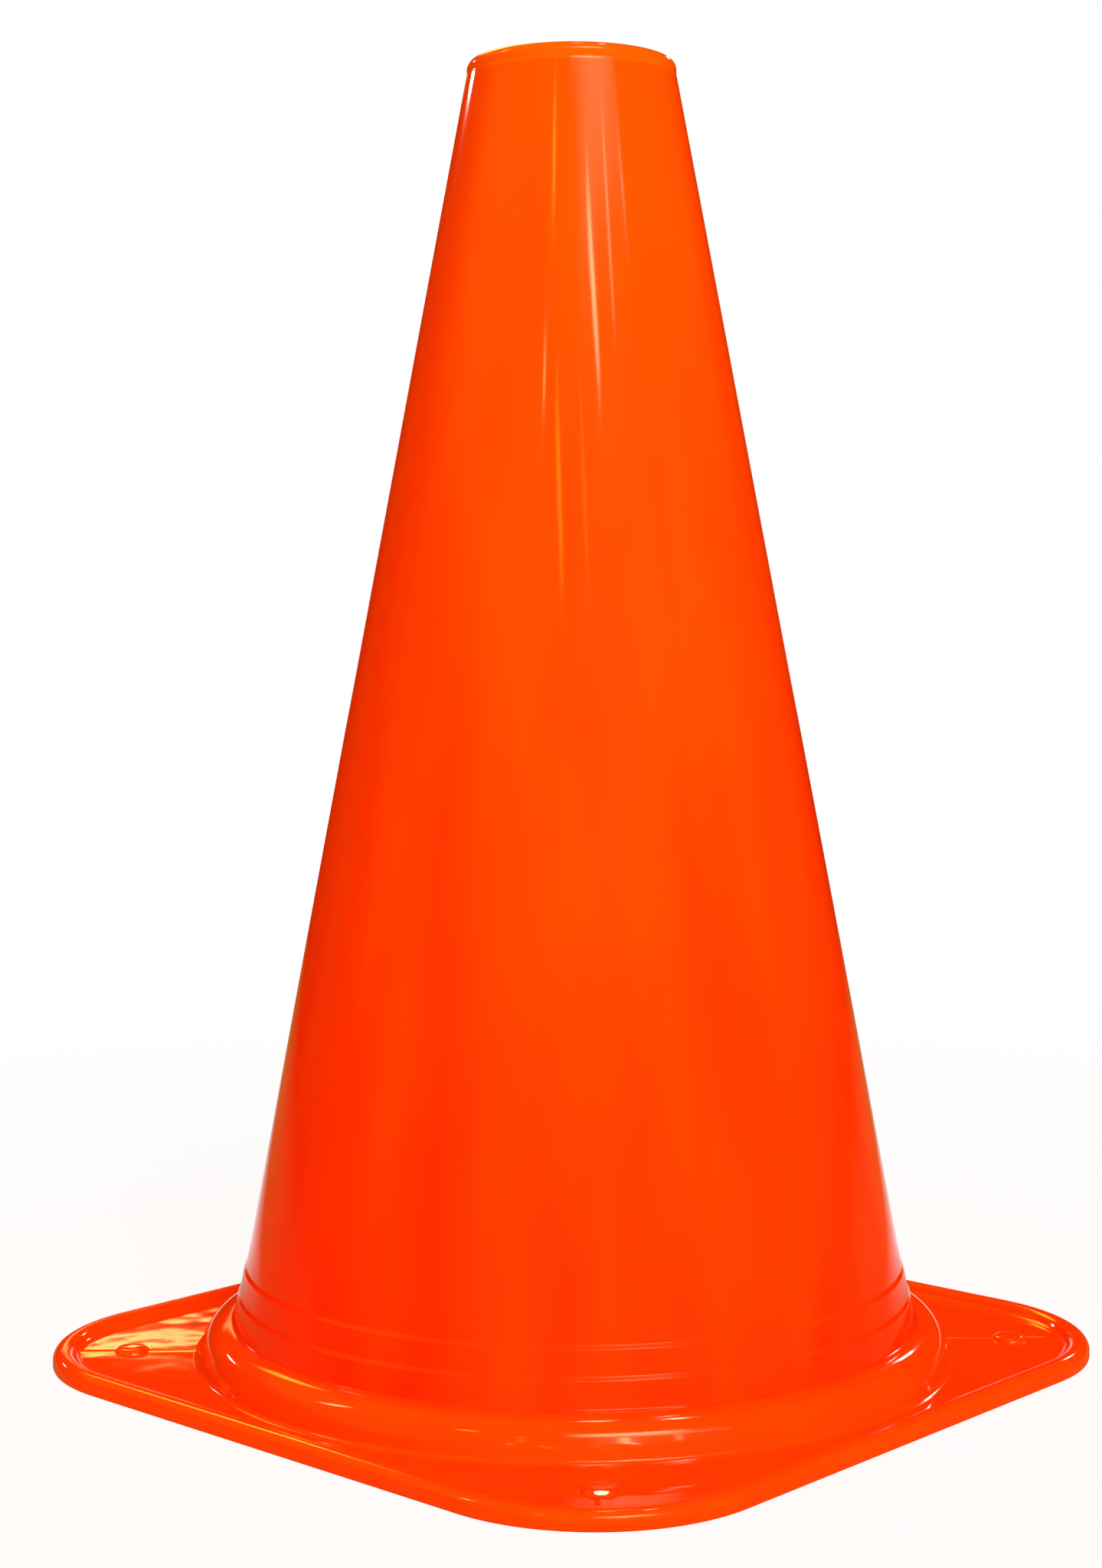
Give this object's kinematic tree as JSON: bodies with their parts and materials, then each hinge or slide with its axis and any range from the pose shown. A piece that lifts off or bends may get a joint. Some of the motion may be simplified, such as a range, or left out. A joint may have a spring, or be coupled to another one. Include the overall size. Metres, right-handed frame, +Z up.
{
  "type": "sports marker cone",
  "caption": "Hollow tapered marker cone with a stepped foot, a rounded bead and a square rimmed base, for marking out pitches and drills; it stacks and takes a pole in its top.",
  "frame": {"origin": "on the cone's axis, in the plane of the base's underside", "axes": "+Z up along the cone's axis; X and Y along the sides of the square base; -Y is the front"},
  "size_m": [0.15, 0.15, 0.23],
  "materials": {
    "orange_plastic": "glossy moulded plastic, bright orange all through"
  },
  "bodies": {
    "root": {"top_lip": "orange_plastic", "cone_wall": "orange_plastic", "upper_step_band": "orange_plastic", "lower_step_band": "orange_plastic", "foot_bead": "orange_plastic", "base_floor": "orange_plastic", "base_rim": "orange_plastic", "corner_rib_front_left": "orange_plastic", "corner_rib_front_right": "orange_plastic", "corner_rib_back_left": "orange_plastic", "corner_rib_back_right": "orange_plastic"}
  },
  "joints": []
}
